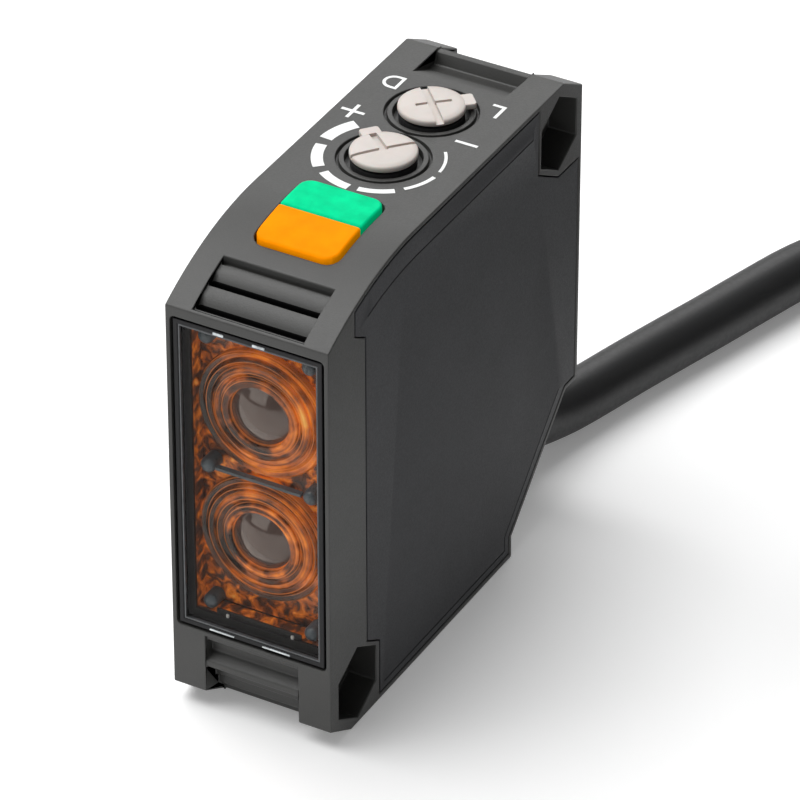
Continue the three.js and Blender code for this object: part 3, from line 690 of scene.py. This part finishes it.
def add_cable():
    """The sheath in one piece, the leads and their bare ends, and the coil's ties."""
    line = smooth_line([Vector(p) * MM for p in CABLE_ROUTE + turn_points() + coil_points()], 3)
    cable = round_curve("cable_sheath", line, CABLE_RADIUS, "cable_black",
                        stands_for=("cable", "cable_coil", "cable_tail"))
    for colour in LEAD_PLACES:
        path = smooth_line([Vector(p) * MM for p in lead_points(colour)], 5)
        slot, node = f"wire_{colour}", f"lead_{colour}"
        round_curve(f"flying_lead_{colour}", path[:-2], 0.75, slot, stands_for=(node,))
        round_curve(f"bare_end_{colour}", path[-4:], 0.4, slot, BARE_COPPER)
    for i in (1, 2):
        work = cad_copy(f"coil_tie_{i}")
        rounded(work, 0.15)
        tie = put(f"cable_tie_{i}", mesh_of(work, f"tie_{i}"), "plastic_black", stands_for=(f"coil_tie_{i}",))
        weighted(tie)
    length = sum((b - a).length for a, b in zip(line, line[1:]))
    print("cable length", round(length, 4))


add_cable()

# ------------------------------------------------------------------ housing


def outside_cavity(edge):
    """Whether an edge is on the outside of the case, where its rounding shows."""
    middle = (edge.verts[0].co + edge.verts[1].co) / 2 / MM
    depth = middle.y + HALF_DEPTH
    return not (abs(middle.x) < 7.55 and 2.35 < depth < 47 and 2.9 < middle.z < 44.2)


def in_louvre(face):
    """Whether a face of the case is inside one of the louvre's slots, or on the floor below them, where the case
    is painted near-black as shade.
    """
    x, depth, z = face.center.x / MM, face.center.y / MM + HALF_DEPTH, face.center.z / MM
    if z <= 44.5:
        return False
    in_slot = any(front - 0.1 < depth < rear + 0.25 for front, rear in LOUVRE_SLOTS)
    if abs(x) < 6.1 and in_slot and face.normal.z < 0.75:
        return True
    return z < 46 and face.normal.z > 0.9


def add_case():
    work = cad_copy("main_case")
    rounded(work, 0.14, angle=28, keep=outside_cavity)
    shell = put("case_shell", mesh_of(work, "case_shell", 40), "case_grey", stands_for=("main_case",))
    shell.data.materials.append(SLOT_PAINTED_SHADE)
    for face in shell.data.polygons:
        if in_louvre(face):
            face.material_index = 1
    weighted(shell)


def grow(work, distance):
    """Moves the upright edge faces of a flat plate outwards, in the plane of the plate."""
    moves = {}
    for vert in work.verts:
        sides = [f.normal for f in vert.link_faces if abs(f.normal.x) < 0.1]
        if len(sides) < 2:
            continue
        total = sides[0] + sides[1]
        moves[vert] = total * (distance * MM / max(0.3, 1 + sides[0].dot(sides[1])))
    for vert, move in moves.items():
        vert.co += move


def add_cover():
    """The side cover, with a fine moulded line that follows its outline inside the edge."""
    work = cad_copy("side_cover")
    work.normal_update()
    grow(work, 0.13)
    rounded(work, 0.1)
    cover = put("side_panel", mesh_of(work, "side_panel"), "cover_grey", stands_for=("side_cover",))
    low, high = HALF_WIDTH - 0.16, HALF_WIDTH + 0.2
    upper = [(y_at(d), crown(d, -3.05)) for d in (7.4, 8.6, 10.2, 12.0, 14.4, CROWN_START)]
    upper += [(y_at(39.8), crown(39.8, -3.05)), (y_at(39.8), 47.8)]
    lower = [(y_at(10.4), 1.6), (y_at(34.9), 1.6), (y_at(34.9), 3.3), (y_at(46.0), 14.5)]
    lines = [strip(line, 0.16, low=low, high=high, axis="x") for line in (upper, lower)]
    weighted(combined(cover, "DIFFERENCE", *[mesh_of(line, "groove") for line in lines]))


add_case()
add_cover()

# ------------------------------------------------------------------ dial prints


def add_prints():
    """The scale round the sensitivity knob, its plus and minus, and the letters beside the mode knob."""
    sensitivity, mode = y_at(SENSITIVITY_DEPTH), y_at(MODE_DEPTH)
    inner = 5.75
    arcs = [
        (143, 178, 1.35), (188, 224, 1.15), (234, 267, 0.95), (275.7, 309, 0.7), (318, 352, 0.42),
        (2, 37.5, 0.3),
    ]
    works = [
        strip(arc(0, sensitivity, inner + width / 2, start, end, 10), width) for start, end, width in arcs
    ]
    plus = (-6.6, sensitivity + 5.8)
    works.append(strip([(plus[0] - 1.25, plus[1]), (plus[0] + 1.25, plus[1])], 0.36))
    for sign in (-1, 1):
        works.append(strip([(plus[0], plus[1] + sign * 0.18), (plus[0], plus[1] + sign * 1.25)], 0.36))
    works.append(strip([(4.53, sensitivity + 5.85), (6.92, sensitivity + 5.85)], 0.36))
    bowl = arc(-5.75, mode + 2.95, 0.98, -90, -270, 10)
    works.append(strip([(-5.1, mode + 1.97), *bowl, (-5.1, mode + 3.93)], 0.32, closed=True))
    works.append(strip([(5.85, mode + 1.8), (5.85, mode + 3.9), (4.6, mode + 3.9)], 0.34))
    put("dial_print", mesh_of(merged(*works), "dial_print"), "knob_white", material=PRINT_WHITE)


add_prints()

# ------------------------------------------------------------------ adjusters and indicators


def add_knob(name, node, body, depth, rest_angle, across, along):
    """A slotted disc with a pointer tab.

    Each slot, across the tab's direction and along it, is (from, to, half width).
    """
    centre = (0, y_at(depth))
    work = turned([
        (0, 45.7), (1.5, 45.7), (1.75, 46.6), (1.75, 50.2), (3.1, 50.25), (3.24, 50.29), (3.3, 50.4),
        (3.3, 50.68), (3.26, 50.80), (3.14, 50.89), (2.6, 50.95), (1.4, 50.99), (0, 51.0),
    ], 72)
    disc = put(name, mesh_of(work, name), "knob_white", body, stands_for=(node,))
    tab_outline = [(2.6, -1.0), (4.05, -1.0), (4.25, -0.8), (4.25, 0.8), (4.05, 1.0), (2.6, 1.0)]
    tab = prism(tab_outline, 50.25, 50.86)
    rounded(tab, 0.1, 3)
    combined(disc, "UNION", mesh_of(tab, "tab"))
    slots = [
        box_prism(-across[2], across[2], across[0], across[1], 50.5, 51.2),
        box_prism(along[0], along[1], -along[2], along[2], 50.55, 51.2),
    ]
    combined(disc, "DIFFERENCE", *[mesh_of(slot, "slot") for slot in slots])
    disc.data.transform(
        Matrix.Translation(Vector((*centre, 0)) * MM) @ Matrix.Rotation(math.radians(rest_angle), 4, "Z"))
    disc.data.shade_smooth()
    disc.data.set_sharp_from_angle(angle=math.radians(35))
    weighted(disc)


def add_indicators():
    for node, name, slot in (("indicator_green", "power_window", "lens_green"),
                             ("indicator_orange", "output_window", "lens_orange")):
        work = cad_copy(node)
        rounded(work, 0.28, 4, keep=lambda e: max(v.co.z for v in e.verts) > 49.0 * MM)
        weighted(put(name, mesh_of(work, name, 40), slot, stands_for=(node,)))


add_knob("sensitivity_dial", "sensitivity_knob", "sensitivity_adjuster", SENSITIVITY_DEPTH, 140,
         (-3.5, 3.5, 0.2), (-0.3, 3.0, 0.38))
add_knob("mode_dial", "mode_knob", "mode_selector", MODE_DEPTH, 43, (-3.5, 3.5, 0.38), (-1.6, 2.0, 0.2))
add_indicators()

# ------------------------------------------------------------------ window and optics


def frame_work(outer, inner, front, back):
    """A flat rectangular frame facing -Y. outer and inner are (half width, low, high)."""
    outlines = [
        [(-half, low), (half, low), (half, high), (-half, high)] for half, low, high in (outer, inner)
    ]
    return ring(*outlines, y_at(front), y_at(back), "y")


def bar(x0, x1, depth0, depth1, z0, z1, width=0.05):
    """A small rounded block between two depths behind the front."""
    work = box_prism(x0, x1, z0, z1, y_at(depth0), y_at(depth1), "y")
    rounded(work, width, 2)
    return work


# Each catch is (x0, x1, z0, z1); its near-white colour is a painted glint.
CATCHES = [
    (-3.6, -2.5, 43.8, 44.05), (0.6, 1.9, 43.8, 44.05), (-4.6, -1.9, 9.6, 9.75), (1.2, 4.2, 9.6, 9.75),
]
BEAD_COUNT, BEAD_PITCH = 44, 0.74


def add_window():
    """The window with its border, rim, mask and catches, and the carrier's edging and sill behind it."""
    border = frame_work((7.95, 9.45, 44.25), (7.45, 9.95, 43.75), 0.12, 1.12)
    rounded(border, 0.1, 3)
    weighted(put("window_border", mesh_of(border, "window_border"), "plastic_black"))
    # The rim's lighter grey is a painted highlight along the border's inner bevel.
    rim = frame_work((7.42, 9.98, 43.72), (7.28, 10.14, 43.56), 0.2, 0.5)
    put("window_rim", mesh_of(rim, "window_rim"), "slate", material=RIM_GREY)
    pane = box_prism(-7.4, 7.4, 10.0, 43.7, y_at(0.4), y_at(1.0), "y")
    put("window_pane", mesh_of(pane, "window_pane"), "window_dark", stands_for=("front_window",))
    shade = frame_work((7.4, 9.95, 43.75), (6.75, 10.75, 43.3), 1.14, 1.5)
    put("window_mask", mesh_of(shade, "window_mask"), "plastic_black")
    beads = [
        bar(6.8, 7.15, 1.04, 1.12, 10.6 + i * BEAD_PITCH, 11.0 + i * BEAD_PITCH, 0.03)
        for i in range(BEAD_COUNT)
    ]
    put("window_beads", mesh_of(merged(*beads), "window_beads"), "slate", material=RIM_GREY)
    catches = [bar(x0, x1, 0.02, 0.3, z0, z1, 0.04) for x0, x1, z0, z1 in CATCHES]
    put("window_catches", mesh_of(merged(*catches), "window_catches"), "slate", material=PAINTED_GLINT)
    edging = frame_work((7.25, 10.4, 43.3), (6.95, 10.75, 42.95), 1.55, 3.45)
    put("carrier_rim", mesh_of(edging, "carrier_rim"), "amber")
    sill = [bar(-4.6, 4.7, 1.42, 1.62, 10.35, 11.35, 0.08)]
    put("lens_sill", mesh_of(merged(*sill), "lens_sill"), "plastic_black")
    # The pegs' near-white colour is a painted glint.
    pegs = [bar(x - 0.16, x + 0.16, 1.2, 1.42, 10.5, 11.1, 0.07) for x in (-3.3, 3.8)]
    put("sill_pegs", mesh_of(merged(*pegs), "sill_pegs"), "slate", material=PAINTED_GLINT)


# The radius of a lens's dome, and its profile as (radius, depth) from the axis out, over the rings and back.
LENS_DOME = 5.0
LENS_PROFILE = [
    *[(r / 10, math.sqrt(LENS_DOME ** 2 - (r / 10) ** 2) - LENS_DOME - 1.45) for r in range(0, 32, 3)],
    (3.2, -2.5), (3.26, -2.0), (3.5, -1.92), (3.9, -2.0),
    (4.15, -2.1), (4.2, -2.35), (4.35, -2.35), (4.7, -2.05), (5.1, -2.15), (5.3, -2.25),
    (5.35, -2.5), (5.5, -2.5), (5.8, -2.25), (6.1, -2.4), (6.2, -2.65), (6.4, -2.65),
    (6.7, -2.5), (6.9, -2.75), (6.9, -3.2), (0, -3.2),
]


def add_lenses():
    for node, height in LENS_HEIGHTS.items():
        work = turned(LENS_PROFILE, 96, 6.7)
        bmesh.ops.rotate(work, verts=work.verts, matrix=Matrix.Rotation(math.pi / 2, 3, "X"))
        bmesh.ops.translate(work, verts=work.verts, vec=Vector((0, -HALF_DEPTH, height)) * MM)
        put(f"{node}_glass", mesh_of(work, node, 50), "amber", stands_for=(node,),
            material=ringed_amber(f"{node}_amber", height))


def add_posts():
    profile = [(0, -1.5), (0.3, -1.53), (0.55, -1.64), (0.72, -1.82), (0.8, -2.05), (0.8, -3.4), (0, -3.4)]
    for i in range(6):
        low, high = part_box(f"lens_post_{i + 1}")
        work = turned(profile, 32)
        bmesh.ops.rotate(work, verts=work.verts, matrix=Matrix.Rotation(math.pi / 2, 3, "X"))
        centre = (low + high) / 2
        bmesh.ops.translate(work, verts=work.verts, vec=(centre.x, -HALF_DEPTH * MM, centre.z))
        put(f"staked_post_{i + 1}", mesh_of(work, "post", 60), "slate", stands_for=(f"lens_post_{i + 1}",))


add_window()
add_lenses()
add_posts()

# ------------------------------------------------------------------ the rest of the CAD nodes

for node, piece in frame["nodes"].items():
    piece.data.materials.clear()
    piece.data.materials.append(MATERIALS[SLOTS[node]])

# ------------------------------------------------------------------ stage


def area_light(name, place, size, power):
    """A rectangular light that points at the middle of the housing."""
    data = bpy.data.lights.new(name, "AREA")
    data.shape = "RECTANGLE"
    data.size, data.size_y = size
    data.energy = power
    light = bpy.data.objects.new(name, data)
    light.location = place
    aim = Vector((0, 0, 0.025)) - Vector(place)
    light.rotation_euler = aim.to_track_quat("-Z", "Y").to_euler()
    bpy.context.scene.collection.objects.link(light)


def add_stage():
    floor_mesh = bpy.data.meshes.new("floor")
    reach = 6.0
    corners = [(-reach, -reach, 0), (reach, -reach, 0), (reach, reach, 0), (-reach, reach, 0)]
    floor_mesh.from_pydata(corners, [], [(0, 1, 2, 3)])
    floor_mesh.materials.append(PALE_FLOOR)
    floor = bpy.data.objects.new("floor", floor_mesh)
    bpy.context.scene.collection.objects.link(floor)
    world = bpy.data.worlds.new("studio")
    world.use_nodes = True
    background = world.node_tree.nodes["Background"]
    background.inputs["Color"].default_value = (1, 1, 1, 1)
    background.inputs["Strength"].default_value = 0.18
    bpy.context.scene.world = world
    area_light("overhead", (-0.42, -0.1, 1.0), (1.0, 1.0), 13.5)
    area_light("key", (-0.42, -0.88, 0.30), (0.75, 0.4), 1.6)
    area_light("back", (-0.40, 0.74, 0.58), (0.8, 0.5), 3.2)
    bpy.context.scene.view_settings.view_transform = "Standard"


add_stage()
